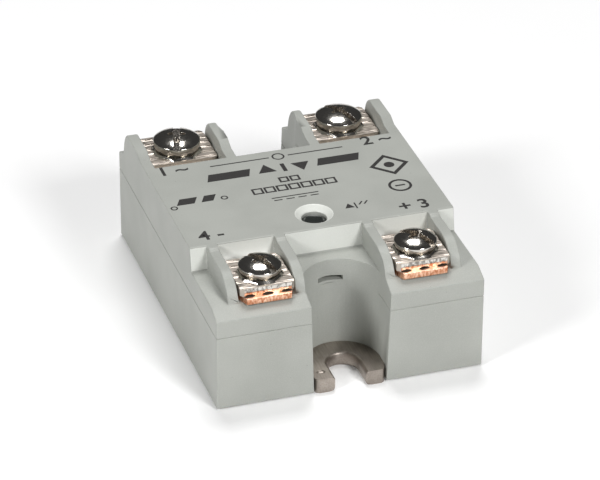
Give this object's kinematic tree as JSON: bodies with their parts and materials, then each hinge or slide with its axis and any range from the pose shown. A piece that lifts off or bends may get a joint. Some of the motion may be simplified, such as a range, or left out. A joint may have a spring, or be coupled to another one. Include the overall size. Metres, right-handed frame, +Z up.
{
  "type": "solid state relay",
  "caption": "Panel mount solid state relay: moulded case on a metal base plate, two screw terminals at each end, status window and an open slot and a hole for mounting.",
  "frame": {"origin": "middle of the base plate's underside, which lies on the heatsink", "axes": "+X across the relay, +Y towards the two load terminals, +Z up out of the heatsink"},
  "size_m": [0.0448, 0.0582, 0.0227],
  "materials": {
    "case": "moulded thermoplastic, pale grey, fine satin",
    "plate": "dull plated metal",
    "nickel": "bright nickel plated steel",
    "copper": "copper with bare cut edges",
    "ceramic": "fired ceramic",
    "silicon": "passivated silicon",
    "gel": "cured potting",
    "board": "solder mask",
    "epoxy": "moulded epoxy",
    "film": "dipped film capacitor case",
    "lens": "smoky clear lens"
  },
  "bodies": {
    "relay": {"base_plate": "plate", "housing": "case", "cover": "case", "load_terminal_1": "copper", "load_terminal_2": "copper", "control_terminal_3": "copper", "control_terminal_4": "copper", "load_nut_1": "nickel", "load_nut_2": "nickel", "control_nut_3": "nickel", "control_nut_4": "nickel", "ceramic_substrate": "ceramic", "copper_pad_a": "copper", "copper_pad_b": "copper", "thyristor_chip_a": "silicon", "thyristor_chip_b": "silicon", "bridge_clip_a": "copper", "bridge_clip_b": "copper", "gate_pin_a": "copper", "gate_pin_b": "copper", "potting": "gel", "circuit_board": "board", "optocoupler_a": "epoxy", "optocoupler_b": "epoxy", "snubber_capacitor": "film", "snubber_resistor": "ceramic", "gate_resistor_a": "ceramic", "gate_resistor_b": "ceramic", "input_resistor": "ceramic", "input_diode": "epoxy", "input_transistor": "epoxy", "status_led": "lens", "status_lens": "lens"},
    "clamp_1": {"load_clamp_1": "nickel"},
    "screw_1": {"load_screw_1": "nickel"},
    "clamp_2": {"load_clamp_2": "nickel"},
    "screw_2": {"load_screw_2": "nickel"},
    "clamp_3": {"control_clamp_3": "nickel"},
    "screw_3": {"control_screw_3": "nickel"},
    "clamp_4": {"control_clamp_4": "nickel"},
    "screw_4": {"control_screw_4": "nickel"}
  },
  "joints": [
    {"name": "clamp_1_slide", "type": "slide", "parent": "relay", "child": "clamp_1", "axis": [0, 0, 1], "range_m": [0, 0.00315]},
    {"name": "screw_1_turn", "type": "hinge", "parent": "clamp_1", "child": "screw_1", "pos_m": [-0.01435, 0.0213, 0.02], "axis": [0, 0, 1], "range_deg": [0, 1620]},
    {"name": "clamp_2_slide", "type": "slide", "parent": "relay", "child": "clamp_2", "axis": [0, 0, 1], "range_m": [0, 0.00315]},
    {"name": "screw_2_turn", "type": "hinge", "parent": "clamp_2", "child": "screw_2", "pos_m": [0.01435, 0.0213, 0.02], "axis": [0, 0, 1], "range_deg": [0, 1620]},
    {"name": "clamp_3_slide", "type": "slide", "parent": "relay", "child": "clamp_3", "axis": [0, 0, 1], "range_m": [0, 0.0027]},
    {"name": "screw_3_turn", "type": "hinge", "parent": "clamp_3", "child": "screw_3", "pos_m": [0.01305, -0.0219, 0.0203], "axis": [0, 0, 1], "range_deg": [0, 1620]},
    {"name": "clamp_4_slide", "type": "slide", "parent": "relay", "child": "clamp_4", "axis": [0, 0, 1], "range_m": [0, 0.0027]},
    {"name": "screw_4_turn", "type": "hinge", "parent": "clamp_4", "child": "screw_4", "pos_m": [-0.01305, -0.0219, 0.0203], "axis": [0, 0, 1], "range_deg": [0, 1620]}
  ],
  "couplings": [
    {"joint": "screw_1_turn", "follows": "clamp_1_slide", "rad_per_m": 8976},
    {"joint": "screw_2_turn", "follows": "clamp_2_slide", "rad_per_m": 8976},
    {"joint": "screw_3_turn", "follows": "clamp_3_slide", "rad_per_m": 10472},
    {"joint": "screw_4_turn", "follows": "clamp_4_slide", "rad_per_m": 10472}
  ]
}
